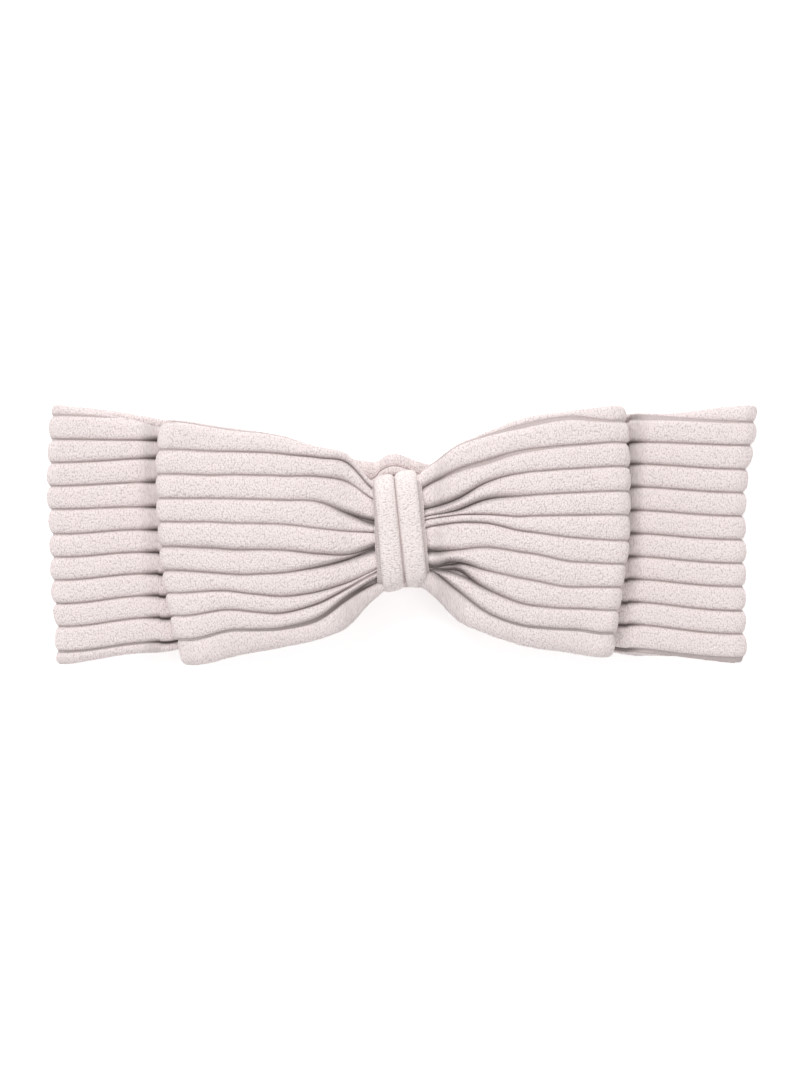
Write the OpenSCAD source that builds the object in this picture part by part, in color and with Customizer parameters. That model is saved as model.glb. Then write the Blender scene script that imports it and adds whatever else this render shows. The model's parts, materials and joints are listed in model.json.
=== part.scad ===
// Spa headband: a ribbed terry tube sewn into a loop, with a folded bow held by a wrapped knot.
// It lies flat on its back. X runs along the band, Y up its width, Z out through the bow.
// The origin is under the middle of the band, on the surface that it lies on.

/* [Band] */
// Length of the loop when it lies flat, fold to fold
band_length = 239; // [225:1:260]
// Width of the band at its two folds
band_width = 86; // [76:1:96]
// Width of the shirred nape, beside the elastic
nape_width = 46; // [42:1:50]
// Height of the nape's middle over the band's middle, as the gathers pull it up
nape_lift = 4.5; // [0:0.5:6]
// Width of the front layer where it goes under the bow's ends
front_width = 73; // [64:1:76]
// Width of the front layer where its gathers begin
gather_width = 50; // [44:1:56]
// Thickness of one wall of the tube, ribs included
wall = 2.4; // [2:0.1:2.6]
// Distance from the middle of the band to the lines where it flexes
flex_x = 32; // [30:1:36]

/* [Ribs] */
// Number of ribs across the band
rib_count = 11; // [9:1:13]
// Height of a rib over the flat ground beside it
rib_height = 0.8; // [0.4:0.1:1]
// Share of the rib pitch that the rib itself takes
rib_share = 0.82; // [0.7:0.02:0.9]

/* [Nape elastic] */
// Length of the woven elastic between its two tacks
elastic_length = 53; // [48:1:53]
// Width of the woven elastic
elastic_width = 30; // [20:1:34]

/* [Bow] */
// Distance from the middle to the end of the left bow loop
bow_reach_left = 81; // [72:1:84]
// Distance from the middle to the end of the right bow loop
bow_reach_right = 75; // [72:1:84]
// Distance from the middle to the lines where the bow loops lift
bow_flex_x = 16; // [14:1:20]
// Width of the bow loops at their outer ends
bow_width = 82; // [74:1:84]
// Width of the bow loops beside the knot
bow_root_width = 46; // [40:1:50]

/* [Knot] */
// Width of the knot's two ribs together
knot_width = 15; // [13:1:16]
// Height of the knot across the band
knot_height = 40; // [38:1:42]
// Tilt of the knot against the band's width
knot_tilt = 6; // [0:1:8]

/* [Hidden] */
$fn = 48;
gap = 0.1;
half = band_length / 2;
eps = 1;
bow_color = [0.93, 0.86, 0.86];
band_color = [0.91, 0.84, 0.84];
elastic_color = [0.95, 0.94, 0.92];
thread_color = [0.88, 0.78, 0.78];

// Heights of the layers over the surface
mid_z = 2 * wall + 3 * gap;
fold_r = mid_z;
nape_wall = 2;
elastic_z = nape_wall + gap;
elastic_wall = 1;
nape_inner_z = elastic_z + elastic_wall + gap;
waist_z = 8.6;
waist_wall = 2.1;
tack_wall = 0.6;
bow_z = 10.5;
bow_wall = 4;
bow_gap = 2.4;
bow_tip_z = bow_z + bow_wall + bow_gap / 2;
bow_top_z = bow_z + 2 * bow_wall + bow_gap;
bow_back_z = waist_z + 2 * waist_wall + 0.9;
bow_back_wall = 3.4;
bow_seam_z = bow_back_z + bow_back_wall + gap;
bow_seam_wall = 1;
bow_front_z = bow_seam_z + bow_seam_wall + gap;
bow_front_wall = 4.2;
bow_back_drop = 0.8;
bow_front_drop = 0.4;
knot_wall = 3;
knot_z = mid_z + 0.3;
knot_top_z = 26.4;

// Places along the band
neck_x = 10;
visible_x = 82;
lobe_belly_x = 42;
lobe_back_x = 36;
lobe_r = 5.2;
lobe_corner = 5;
lobe_swell = 1;
seam_w = 2;
waist_half = 14;
bow_waist_half = 14.4;
bow_root_half = bow_root_width / 2 - 3;
bow_seam_length = 30;
tack_size = [10, 20];
rib_groove = 1;

function arc(cx, cz, r, from, to, steps = 8) =
    [for (i = [0:steps]) let (a = from + (to - from) * i / steps) [cx + r * cos(a), cz + r * sin(a)]];

function mirrored(points) =
    concat(points, [for (i = [len(points) - 1:-1:0]) [points[i][0], -points[i][1]]]);

// Outline of the back of the tube, from the nape's end to the fold
function back_outline() = [
    [flex_x, nape_lift + nape_width / 2], [half, band_width / 2],
    [half, -band_width / 2], [flex_x, nape_lift - nape_width / 2]
];

// A solid with one outline seen from above (X, Y) and another seen along the width (X, Z)
module layer(outline, profile) {
    intersection() {
        linear_extrude(2 * knot_top_z, center = true)
            polygon(outline);
        rotate([90, 0, 0])
            linear_extrude(2 * band_width, center = true)
                polygon(profile);
    }
}

// A strip of one rib from x0 to x1, fanning from pitch p0 to pitch p1, at rib number i
module rib(i, x0, x1, p0, p1, lift0, lift1) {
    middle = i - (rib_count - 1) / 2;
    w0 = p0 * rib_share / 2;
    w1 = p1 * rib_share / 2;
    y0 = lift0 + middle * p0;
    y1 = lift1 + middle * p1;
    polygon([[x0, y0 - w0], [x1, y1 - w1], [x1, y1 + w1], [x0, y0 + w0]]);
}

// All the ribs of a wall that is width0 wide at x0 and width1 at x1, with its middle at the lifts
module rib_fan(x0, x1, width0, width1, lift0 = 0, lift1 = 0) {
    for (i = [0:rib_count - 1])
        rib(i, x0, x1, width0 / rib_count, width1 / rib_count, lift0, lift1);
}

// Right half of the back of the tube: its outer wall rounds up to the middle of the fold
module back_outer_wall() {
    shell = concat(
        [[flex_x, rib_height]],
        arc(half - fold_r, mid_z, fold_r - rib_height, -90, 0),
        arc(half - fold_r, mid_z, fold_r - wall, 0, -90),
        [[flex_x, wall]]
    );
    ribs = concat(
        [[flex_x, 0]],
        arc(half - fold_r, mid_z, fold_r, -90, 0),
        arc(half - fold_r, mid_z, fold_r - wall, 0, -90),
        [[flex_x, wall]]
    );
    color(band_color) {
        layer(back_outline(), shell);
        intersection() {
            layer(back_outline(), ribs);
            linear_extrude(mid_z)
                rib_fan(flex_x, half, nape_width, band_width, nape_lift);
        }
    }
}

module back_inner_wall() {
    bottom = wall + gap;
    profile = concat(
        [[flex_x, bottom]],
        arc(half - fold_r, mid_z, fold_r - bottom, -90, 0),
        [[half - fold_r, mid_z], [half - fold_r - 1, bottom + wall], [flex_x, bottom + wall]]
    );
    color(band_color)
        layer(back_outline(), profile);
}

// Right half of the front of the tube, the mirror of the back in its folded end
module front_outer_wall() {
    outline = mirrored([[flex_x, gather_width / 2], [visible_x, front_width / 2], [half, band_width / 2]]);
    top = 2 * mid_z;
    shell = concat(
        [[flex_x, top - wall]],
        arc(half - fold_r, mid_z, fold_r - wall, 90, 0),
        arc(half - fold_r, mid_z, fold_r - rib_height, 0, 90),
        [[flex_x, top - rib_height]]
    );
    ribs = concat(
        [[flex_x, top - wall]],
        arc(half - fold_r, mid_z, fold_r - wall, 90, 0),
        arc(half - fold_r, mid_z, fold_r, 0, 90),
        [[flex_x, top]]
    );
    color(band_color) {
        layer(outline, shell);
        intersection() {
            layer(outline, ribs);
            linear_extrude(top) {
                rib_fan(flex_x, visible_x, gather_width, front_width);
                rib_fan(visible_x, half, front_width, band_width);
            }
        }
    }
}

module front_inner_wall() {
    bottom = mid_z + gap;
    outline = mirrored([[flex_x, gather_width / 2], [visible_x, front_width / 2], [half, band_width / 2]]);
    profile = concat(
        [[flex_x, bottom], [half - fold_r - 1, bottom], [half - fold_r, mid_z]],
        arc(half - fold_r, mid_z, fold_r - wall - gap, 0, 90),
        [[flex_x, bottom + wall]]
    );
    color(band_color)
        layer(outline, profile);
}

// The shirred nape: two walls with the elastic and its tacks between them
module nape_outer_wall() {
    color(band_color) {
        translate([-flex_x, nape_lift - nape_width / 2, rib_height])
            cube([2 * flex_x, nape_width, nape_wall - rib_height]);
        linear_extrude(nape_wall)
            rib_fan(-flex_x, flex_x, nape_width, nape_width, nape_lift, nape_lift);
    }
}

module nape_inner_wall() {
    color(band_color)
        translate([-flex_x, nape_lift - nape_width / 2, nape_inner_z])
            cube([2 * flex_x, nape_width, 2 * wall + gap - nape_inner_z]);
}

module nape_elastic() {
    color(elastic_color)
        translate([-elastic_length / 2, nape_lift - elastic_width / 2, elastic_z])
            cube([elastic_length, elastic_width, elastic_wall]);
}

module elastic_tack() {
    color(thread_color)
        translate([elastic_length / 2 + gap, nape_lift - elastic_width / 2, elastic_z])
            cube([seam_w, elastic_width, elastic_wall]);
}

// The gathered middle of the front layer, which the knot grips
module waist(low_end, low_neck) {
    outline = mirrored([
        [-flex_x, gather_width / 2], [-neck_x, waist_half],
        [neck_x, waist_half], [flex_x, gather_width / 2]
    ]);
    profile = [
        [-flex_x, low_end], [-neck_x, low_neck], [neck_x, low_neck], [flex_x, low_end],
        [flex_x, low_end + wall], [neck_x, low_neck + waist_wall],
        [-neck_x, low_neck + waist_wall], [-flex_x, low_end + wall]
    ];
    color(band_color)
        layer(outline, profile);
}

module waist_inner_wall() {
    waist(mid_z + gap, waist_z);
}

module waist_outer_wall() {
    waist(mid_z + wall + 2 * gap, waist_z + waist_wall + gap);
}

module bow_tack() {
    color(thread_color)
        translate([-tack_size[0] / 2, -tack_size[1] / 2, waist_z + 2 * waist_wall + 2 * gap])
            cube([tack_size[0], tack_size[1], tack_wall]);
}

// The middle of the bow inside the knot: the back layer's two ends meet in a seam
module bow_waist(z_neck, z_end, thick) {
    outline = mirrored([
        [-bow_flex_x, bow_root_half], [-neck_x, bow_waist_half],
        [neck_x, bow_waist_half], [bow_flex_x, bow_root_half]
    ]);
    profile = [
        [-bow_flex_x, z_end], [-neck_x, z_neck], [neck_x, z_neck], [bow_flex_x, z_end],
        [bow_flex_x, z_end + thick], [neck_x, z_neck + thick],
        [-neck_x, z_neck + thick], [-bow_flex_x, z_end + thick]
    ];
    color(bow_color)
        layer(outline, profile);
}

module bow_waist_back() {
    bow_waist(bow_back_z, bow_back_z - bow_back_drop, bow_back_wall);
}

module bow_waist_front() {
    bow_waist(bow_front_z, bow_front_z - bow_front_drop, bow_front_wall);
}

module bow_seam() {
    color(thread_color)
        translate([-seam_w / 2, -bow_seam_length / 2, bow_seam_z])
            cube([seam_w, bow_seam_length, bow_seam_wall]);
}

// Outline of one bow loop on the right side, from its root to its rolled end
function lobe_outline(reach, top, low) = [
    [bow_flex_x, top[0]], [lobe_belly_x, top[1]], [reach - lobe_corner, top[2]],
    [reach, top[2] - 1], [reach, 1 - low[2]], [reach - lobe_corner, -low[2]],
    [lobe_belly_x, -low[1]], [bow_flex_x, -low[0]]
];

// Profile of the back layer of a bow loop, up to the middle of its rolled end
function lobe_back_profile(reach) = concat(
    [[bow_flex_x, bow_back_z - bow_back_drop], [lobe_back_x, bow_z]],
    arc(reach - lobe_r, bow_tip_z, lobe_r, -90, 0),
    [[reach - bow_wall, bow_tip_z], [reach - lobe_r, bow_z + bow_wall]],
    [[lobe_back_x, bow_z + bow_wall], [bow_flex_x, bow_back_z - bow_back_drop + bow_back_wall]]
);

// Profile of the front layer, which swells a little between the root and the rolled end
function lobe_front_profile(reach) = concat(
    [[bow_flex_x, bow_front_z - bow_front_drop], [lobe_belly_x, bow_top_z - bow_wall + lobe_swell]],
    [[reach - lobe_r, bow_tip_z + bow_gap / 2], [reach - bow_wall, bow_tip_z]],
    arc(reach - lobe_r, bow_tip_z, lobe_r, 0, 90),
    [[lobe_belly_x, bow_top_z + lobe_swell], [bow_flex_x, bow_front_z - bow_front_drop + bow_front_wall]]
);

module lobe(outline, profile) {
    color(bow_color)
        layer(outline, profile);
}

left_lobe = lobe_outline(bow_reach_left, [22, 32, bow_width / 2 - 3], [26, 37, bow_width / 2]);
right_lobe = lobe_outline(bow_reach_right, [25, 37, bow_width / 2], [23, 37, bow_width / 2 - 2]);

// The knot's strip: an open ring round the gathered layers, closed by its seam behind
module rounded_plate(width, height, r) {
    square([width - 2 * r, height], center = true);
    square([width, height - 2 * r], center = true);
    for (x = [-1, 1], y = [-1, 1])
        translate([x * (width / 2 - r), y * (height / 2 - r)])
            circle(r);
}

module knot_ring(width) {
    tall = knot_top_z - knot_z;
    translate([0, 0, knot_z + tall / 2])
        rotate([90, 0, 90])
            linear_extrude(width, center = true)
                difference() {
                    rounded_plate(knot_height, tall, 6);
                    rounded_plate(knot_height - 2 * knot_wall, tall - 2 * knot_wall, 3);
                }
}

module knot_wrap() {
    tall = knot_top_z - knot_z;
    color(bow_color)
        rotate([0, 0, knot_tilt])
            difference() {
                knot_ring(knot_width);
                translate([0, 0, knot_z + tall / 2])
                    rotate([90, 0, 90])
                        linear_extrude(rib_groove, center = true)
                            difference() {
                                square([2 * knot_height, 2 * tall], center = true);
                                rounded_plate(knot_height - 2, tall - 2, 5);
                            }
                translate([-knot_width, -seam_w / 2, knot_z - eps])
                    cube([2 * knot_width, seam_w, knot_wall + 2 * eps]);
            }
}

module knot_seam() {
    color(thread_color)
        rotate([0, 0, knot_tilt])
            translate([-knot_width / 2 + 1, -seam_w / 2 + gap, knot_z + knot_wall / 4])
                cube([knot_width - 2, seam_w - 2 * gap, knot_wall / 2]);
}

module left() {
    mirror([1, 0, 0])
        children();
}

nape_outer_wall();
nape_inner_wall();
nape_elastic();
left() elastic_tack();  // elastic_tack_left
elastic_tack();  // elastic_tack_right
left() back_outer_wall();  // back_outer_wall_left
left() back_inner_wall();  // back_inner_wall_left
back_outer_wall();  // back_outer_wall_right
back_inner_wall();  // back_inner_wall_right
left() front_outer_wall();  // front_outer_wall_left
left() front_inner_wall();  // front_inner_wall_left
front_outer_wall();  // front_outer_wall_right
front_inner_wall();  // front_inner_wall_right
waist_outer_wall();
waist_inner_wall();
bow_tack();
bow_waist_back();
bow_seam();
bow_waist_front();
knot_wrap();
knot_seam();
left() lobe(left_lobe, lobe_back_profile(bow_reach_left));  // bow_back_left
left() lobe(left_lobe, lobe_front_profile(bow_reach_left));  // bow_front_left
lobe(right_lobe, lobe_back_profile(bow_reach_right));  // bow_back_right
lobe(right_lobe, lobe_front_profile(bow_reach_right));  // bow_front_right
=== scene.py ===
"""Spa headband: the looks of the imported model. Ribbed terry tubes, a gathered bow and its knot."""
import json
import math
import bpy
import numpy as np
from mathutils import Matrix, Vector


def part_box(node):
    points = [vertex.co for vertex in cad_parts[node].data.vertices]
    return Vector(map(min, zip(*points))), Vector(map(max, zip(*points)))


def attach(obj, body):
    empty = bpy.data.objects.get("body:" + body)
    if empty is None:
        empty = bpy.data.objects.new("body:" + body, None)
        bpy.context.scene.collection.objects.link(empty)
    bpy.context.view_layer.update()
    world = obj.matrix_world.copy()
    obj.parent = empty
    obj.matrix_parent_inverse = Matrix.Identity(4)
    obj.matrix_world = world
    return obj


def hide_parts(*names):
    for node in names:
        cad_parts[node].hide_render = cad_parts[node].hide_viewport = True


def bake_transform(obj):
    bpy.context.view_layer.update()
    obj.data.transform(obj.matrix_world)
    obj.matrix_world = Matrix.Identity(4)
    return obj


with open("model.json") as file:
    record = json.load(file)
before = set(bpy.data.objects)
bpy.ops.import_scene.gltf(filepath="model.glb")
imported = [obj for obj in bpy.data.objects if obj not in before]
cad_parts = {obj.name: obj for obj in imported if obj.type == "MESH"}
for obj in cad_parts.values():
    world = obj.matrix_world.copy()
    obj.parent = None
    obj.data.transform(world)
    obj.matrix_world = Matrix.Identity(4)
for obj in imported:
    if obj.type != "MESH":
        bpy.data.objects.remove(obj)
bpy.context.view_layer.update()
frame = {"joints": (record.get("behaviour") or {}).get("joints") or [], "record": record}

MM = 0.001

# ---------------------------------------------------------------- places, worked out from the frame

def low(node):
    return np.array(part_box(node)[0], float) / MM


def high(node):
    return np.array(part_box(node)[1], float) / MM


def joint_x(name):
    """Distance of a joint's axis from the middle, in millimetres."""
    found = next(j for j in frame["joints"] if j["name"] == name)
    return abs(found["pos_m"][0]) / MM


FOLD_X = high("back_outer_wall_right")[0]
FOLD_Z = high("back_outer_wall_right")[2]
FRONT_TOP_Z = high("front_outer_wall_right")[2]
FLEX_X = joint_x("loop_open")
BAND_HALF = 43.0
BOW_END_LEFT = -low("bow_front_left")[0]
BOW_END_RIGHT = high("bow_front_right")[0]
BOW_BACK_Z = low("bow_back_left")[2]
KNOT_TOP_Z = high("knot_wrap")[2]
KNOT_LOW_Z = low("knot_wrap")[2]

SPLIT_X = 62.0          # where the band's pieces meet, halfway between two flexes
PITCH = 7.9             # from groove to groove where the cloth lies unstretched
ROW_STEP = 0.42         # grid step along the visible cloth
HIDDEN_STEP = 0.85      # and along cloth that lies underneath
LOOP_SIZE = 1.0         # size of one terry loop
LOOP_HEIGHT = 0.30      # how far the loops stand out of the ribs
THIN_GROOVE = 0.5       # width of a groove where nothing opens it
RIB_WIDTH = PITCH - THIN_GROOVE


# ---------------------------------------------------------------- small helpers

def ease(t):
    t = np.clip(t, 0.0, 1.0)
    return t * t * (3 - 2 * t)


def through(stations, values, x):
    """A smooth curve through given points, flat beyond the first and the last."""
    xs, ys = np.asarray(stations, float), np.asarray(values, float)
    if xs[0] > xs[-1]:
        xs, ys = xs[::-1], ys[::-1]
    slopes = np.gradient(ys, xs)
    slopes[0] = slopes[-1] = 0.0
    x = np.clip(np.asarray(x, float), xs[0], xs[-1])
    k = np.clip(np.searchsorted(xs, x, side="right") - 1, 0, len(xs) - 2)
    span = xs[k + 1] - xs[k]
    t = (x - xs[k]) / span
    a, b = 2 * t**3 - 3 * t**2 + 1, t**3 - 2 * t**2 + t
    c, d = -2 * t**3 + 3 * t**2, t**3 - t**2
    return a * ys[k] + b * span * slopes[k] + c * ys[k + 1] + d * span * slopes[k + 1]


def scatter(ix, iy, seed):
    """A repeatable pair of numbers from 0 to 1 for each cell of a grid."""
    h = np.sin(ix * 127.1 + iy * 311.7 + seed * 74.7) * 43758.5453
    g = np.sin(ix * 269.5 + iy * 183.3 + seed * 31.3) * 24634.6345
    return h - np.floor(h), g - np.floor(g)


def loops(u, v, size, seed):
    """Height from 0 to 1 of packed terry loops over a surface measured by u and v."""
    u, v = u / size, v / size
    iu, iv = np.floor(u), np.floor(v)
    nearest = np.full(u.shape, 9.0)
    for du in (-1, 0, 1):
        for dv in (-1, 0, 1):
            ju, jv = scatter(iu + du, iv + dv, seed)
            gap = np.hypot(iu + du + ju - u, iv + dv + jv - v)
            nearest = np.minimum(nearest, gap)
    return np.clip(1.0 - nearest, 0.0, 1.0)


def waves(u, v, size, seed):
    """Soft noise from -1 to 1, one bump per size."""
    u, v = u / size, v / size
    iu, iv = np.floor(u), np.floor(v)
    a, b = ease(u - iu), ease(v - iv)
    n00, n10 = scatter(iu, iv, seed)[0], scatter(iu + 1, iv, seed)[0]
    n01, n11 = scatter(iu, iv + 1, seed)[0], scatter(iu + 1, iv + 1, seed)[0]
    return 2 * ((n00 * (1 - a) + n10 * a) * (1 - b) + (n01 * (1 - a) + n11 * a) * b) - 1


# ---------------------------------------------------------------- the ribbed tube

FLAT_TOP = 3.6          # how flat a rib's top is, where nothing else is asked for
CHANNEL_POINTS = (-0.9, 0, 0.9)     # columns on a groove's floor, as shares of half its width
ROLL_SHARE = 0.42       # the most of a row's width that one rounded edge takes
INNER_KEEP = 3.0        # how far in from the edges the inner face's grooves stay
INNER_KEEP_SHARE = 0.3  # and the most of a narrow row's width
TINY = 0.05             # keeps a width or a slope from reaching nothing
MEAN_PILE = 0.45        # height of the loops that adds nothing to the cloth's thickness
GROOVE_CALM = 0.8       # how much flatter the pile is in a groove
FULL_PLEAT_SHADE = 3.0         # depth of a pleat at which its painted shade is at its darkest
CLOTH_OFFSET = 37.0     # how far apart the fibres' patterns of two tubes lie, for each step of seed


def rib_shape(u, flat=FLAT_TOP):
    """Height of a rib from 0 to 1, u from -1 to 1 across it. A higher flat gives a flatter top."""
    return (1 - np.abs(u) ** flat) ** (1 / (0.6 * flat))


def groove_share(h):
    """How much a point on a rib, h of its height up, takes of the groove's colour."""
    return np.clip(1 - 2.4 * h, 0, 1)


def per_row(value, rows):
    """One number for each row, from a single number or from one for each."""
    return np.broadcast_to(np.asarray(value, float), (rows,)).copy()


def edge_run(d0, roll, thick):
    """Length of the base section from the edge to a point d0 from it, and of its quarter turn."""
    quarter = math.pi / 2 * np.sqrt((roll**2 + thick**2) / 2)
    phi = np.arccos(np.clip(1 - d0 / roll, -1, 1))
    return np.where(d0 > roll, quarter + d0 - roll, quarter * phi / (math.pi / 2)), quarter


def edge_point(s, quarter, roll, thick):
    """Distance from the edge and height over the middle, s along the section from the edge."""
    phi = np.clip(s / quarter, 0, 1) * math.pi / 2
    d = roll * (1 - np.cos(phi)) + np.maximum(s - quarter, 0)
    n = thick * np.sin(phi)
    return d, n


class Tube:
    """A flattened ribbed tube. Each row has a place and a normal in the XZ plane, and across it
    the heights of its grooves; columns run round the tube: front face, top edge, back face,
    bottom edge."""

    def __init__(self, x, z, nx, nz, grooves, channels, bottom, top, thick, rise, flat=FLAT_TOP,
                 depth=None, depth_width=1.15, inner_rise=0.45, samples=16, inner_samples=6,
                 edge_samples=20, edge_roll=3.2, edge_share=0.75, edge_scales=(1, 1), shape=None,
                 arc_start=0.0, seed=1):
        self.x, self.z, self.nx, self.nz = (np.asarray(a, float) for a in (x, z, nx, nz))
        rows = len(self.x)
        self.thick, self.rise, self.flat, self.inner_rise = (
            per_row(a, rows) for a in (thick, rise, flat, inner_rise))
        self.low_bulge, self.high_bulge = (
            self.rise * edge_share * per_row(scale, rows) for scale in edge_scales)
        self.low_edge = per_row(bottom, rows) + self.low_bulge
        self.high_edge = per_row(top, rows) - self.high_bulge
        width = self.high_edge - self.low_edge
        self.roll = np.minimum(per_row(edge_roll, rows), ROLL_SHARE * width)
        self.g = np.asarray(grooves, float)
        self.c = np.broadcast_to(np.asarray(channels, float), self.g.shape)
        self.depth = np.zeros_like(self.g) if depth is None else np.asarray(depth, float)
        self.depth_width, self.shape, self.seed = depth_width, shape, seed
        self.samples, self.inner_samples, self.edge_samples = samples, inner_samples, edge_samples
        keep = np.minimum(INNER_KEEP, INNER_KEEP_SHARE * width)[:, None]
        self.inner_g = np.clip(self.g, self.low_edge[:, None] + keep, self.high_edge[:, None] - keep)
        out = self.thick + self.rise
        run = np.hypot(np.diff(self.x + self.nx * out), np.diff(self.z + self.nz * out))
        self.arc = np.concatenate([[0], np.cumsum(run)]) + arc_start
        self.build()

    def base(self, y):
        """Height of the smooth section over its middle line, and its normal, on the outer side."""
        gap_low, gap_high = y - self.low_edge[:, None], self.high_edge[:, None] - y
        roll, thick = self.roll[:, None], self.thick[:, None]
        short = np.clip((roll - np.minimum(gap_low, gap_high)) / roll, 0, 0.999)
        n = thick * np.sqrt(1 - short**2)
        gy, gn = short / roll * np.where(gap_high < gap_low, 1, -1), n / thick**2
        size = np.hypot(gy, gn)
        return n, gy / size, gn / size

    def face(self, side, g, c, samples, rise, channel_points):
        """Columns of one face, bottom to top: side is 1 for the outer and -1 for the inner."""
        ys, bumps, tags = [], [], []
        for k in range(g.shape[1]):
            for w in channel_points:
                ys.append(g[:, k] + w * c[:, k] / 2)
                bumps.append(np.zeros(len(g)))
                tags.append(np.ones(len(g)))
            if k == g.shape[1] - 1:
                break
            a, b = g[:, k] + c[:, k] / 2, g[:, k + 1] - c[:, k + 1] / 2
            width = np.maximum(b - a, TINY)
            tall = rise * np.clip(RIB_WIDTH / width, 0.6, 1.9) ** 0.5
            tall = np.minimum(tall, 0.9 * width)
            for t in (np.arange(samples) + 0.5) / samples * 2 - 1:
                u = math.sin(t * math.pi / 2) * 0.65 + t * 0.35
                ys.append((a + b) / 2 + u * width / 2)
                h = rib_shape(np.full(len(g), u), self.flat)
                bumps.append(tall * h)
                tags.append(groove_share(h))
        y, bump, tag = (np.stack(part, 1) for part in (ys, bumps, tags))
        n, gy, gn = self.base(y)
        return y, n * side, gy, gn * side, bump, tag

    def edge(self, upper):
        """Columns of the rib that rolls round one edge, from the outer face to the inner."""
        k = -1 if upper else 0
        sign = 1 if upper else -1
        limit, bulge = (self.high_edge, self.high_bulge) if upper else (self.low_edge, self.low_bulge)
        d_out = np.maximum(sign * (limit - self.g[:, k]) - self.c[:, k] / 2, 0.0)
        d_in = sign * (limit - self.inner_g[:, k])
        run_out, quarter = edge_run(d_out, self.roll, self.thick)
        run_in, _ = edge_run(d_in, self.roll, self.thick)
        parts = []
        for t in (np.arange(self.edge_samples) + 0.5) / self.edge_samples:
            s = -run_out + t * (run_out + run_in)
            face = np.where(s < 0, 1.0, -1.0)
            d, n = edge_point(np.abs(s), quarter, self.roll, self.thick)
            gy, gn = np.clip((self.roll - d) / self.roll, 0, 1) / self.roll, n / self.thick**2
            size = np.hypot(gy, gn)
            h = rib_shape(np.full(len(s), 2 * t - 1), self.flat)
            room = (self.thick + self.inner_rise - n) / np.maximum(gn / size, TINY)
            stands = np.where(s < 0, bulge * h, np.minimum(bulge * h, room))
            parts.append((limit - sign * d, n * face, sign * gy / size, gn / size * face,
                          stands, groove_share(h)))
        return tuple(np.stack(a, 1) for a in zip(*parts))

    def section(self):
        """All columns in order round the tube, and 1 on its outer face fading to 0 on its inner."""
        outer = self.face(1, self.g, self.c, self.samples, self.rise, CHANNEL_POINTS)
        inner = self.face(-1, self.inner_g, self.c * 0.5, self.inner_samples, self.inner_rise, (0,))
        inner, bottom = (tuple(a[:, ::-1] for a in part) for part in (inner, self.edge(False)))
        columns = [np.concatenate(a, 1) for a in zip(outer, self.edge(True), inner, bottom)]
        fade = np.linspace(1, 0, self.edge_samples)
        outside = np.concatenate([np.ones(outer[0].shape[1]), fade,
                                  np.zeros(inner[0].shape[1]), fade[::-1]])
        return columns, outside

    def pleats(self, y, outside):
        """How deep the grooves are pulled in at each point of the outer face."""
        sink = np.zeros_like(y)
        for k in range(self.g.shape[1]):
            away = (y - self.g[:, k, None]) / self.depth_width
            sink = np.maximum(sink, self.depth[:, k, None] * np.exp(-away**2) * outside)
        return sink

    def build(self):
        """Works out every point, and what the material needs to know about it."""
        (y, n, gy, gn, bump, tag), outside = self.section()
        sink = self.pleats(y, outside)
        bump = bump - sink
        around = np.cumsum(np.hypot(np.diff(y + gy * bump, axis=1, prepend=y[:, :1]),
                                    np.diff(n + gn * bump, axis=1, prepend=n[:, :1])), axis=1)
        along = np.broadcast_to(self.arc[:, None], y.shape)
        pile = loops(along, around, LOOP_SIZE, self.seed)
        soft = (waves(along, around, 4.2, self.seed + 3) * 0.13
                + waves(along, around, 1.9, self.seed + 5) * 0.07)
        bump = bump + (LOOP_HEIGHT * (pile - MEAN_PILE) + soft * outside) * (1 - GROOVE_CALM * tag)
        py, pn = y + gy * bump, n + gn * bump
        swell = np.zeros_like(y)
        if self.shape is not None:
            swell = self.shape(np.abs(self.x[:, None]), py) * outside
        pn = pn + swell
        px = self.x[:, None] + self.nx[:, None] * pn
        pz = self.z[:, None] + self.nz[:, None] * pn
        self.points = np.stack([px, py, pz], 2)
        self.cloth = np.stack([along, around, np.full_like(y, self.seed * CLOTH_OFFSET)], 2)
        self.groove_tag = tag
        # Painted shade, from 0 to 1, by how deep a pleat, a pressed groove or a hollow such as the gape sinks
        self.pleat_shade_tag = np.clip((sink - np.minimum(swell, 0)) / FULL_PLEAT_SHADE, 0, 1)
        self.inside = 1 - outside

    def press(self, rows, lowest, highest=99.0):
        """Flattens the chosen rows against what they lie on, between two heights."""
        self.points[rows, :, 2] = np.clip(self.points[rows, :, 2], lowest, highest)

    def shift_end(self, side, start, end, shift):
        """Moves the cloth outwards by a shift that depends on height and grows from start to end."""
        move = ease((np.abs(self.points[:, :, 0]) - start) / (end - start))
        self.points[:, :, 0] += side * move * shift(side, self.points[:, :, 1])


def grid_faces(rows, cols):
    """Quads of a tube whose columns close round it."""
    i, j = np.meshgrid(np.arange(rows - 1), np.arange(cols), indexing="ij")
    k = (j + 1) % cols
    return np.stack([i * cols + j, (i + 1) * cols + j, (i + 1) * cols + k, i * cols + k], 2).reshape(-1, 4)


def mesh_piece(name, points, faces, material, attributes=None, caps=()):
    """A closed mesh, in millimetres, whose faces look outwards."""
    p = points.reshape(-1, 3)
    corners = p[faces]
    turn = np.cross(corners[:, 2] - corners[:, 0], corners[:, 3] - corners[:, 1])
    volume = (turn * (corners.mean(1) - p.mean(0))).sum()
    order = slice(None) if volume > 0 else slice(None, None, -1)
    listed = faces[:, order].tolist() + [list(cap)[order] for cap in caps]
    mesh = bpy.data.meshes.new(name)
    mesh.from_pydata((p * MM).tolist(), [], listed)
    for key, values in (attributes or {}).items():
        kind, field = ("FLOAT_VECTOR", "vector") if values.ndim == 3 else ("FLOAT", "value")
        mesh.attributes.new(key, kind, "POINT").data.foreach_set(field, values.astype(np.float32).ravel())
    mesh.polygons.foreach_set("use_smooth", np.arange(len(listed)) < len(faces))
    mesh.materials.append(material)
    mesh.update()
    obj = bpy.data.objects.new(name, mesh)
    bpy.context.scene.collection.objects.link(obj)
    return obj


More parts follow.
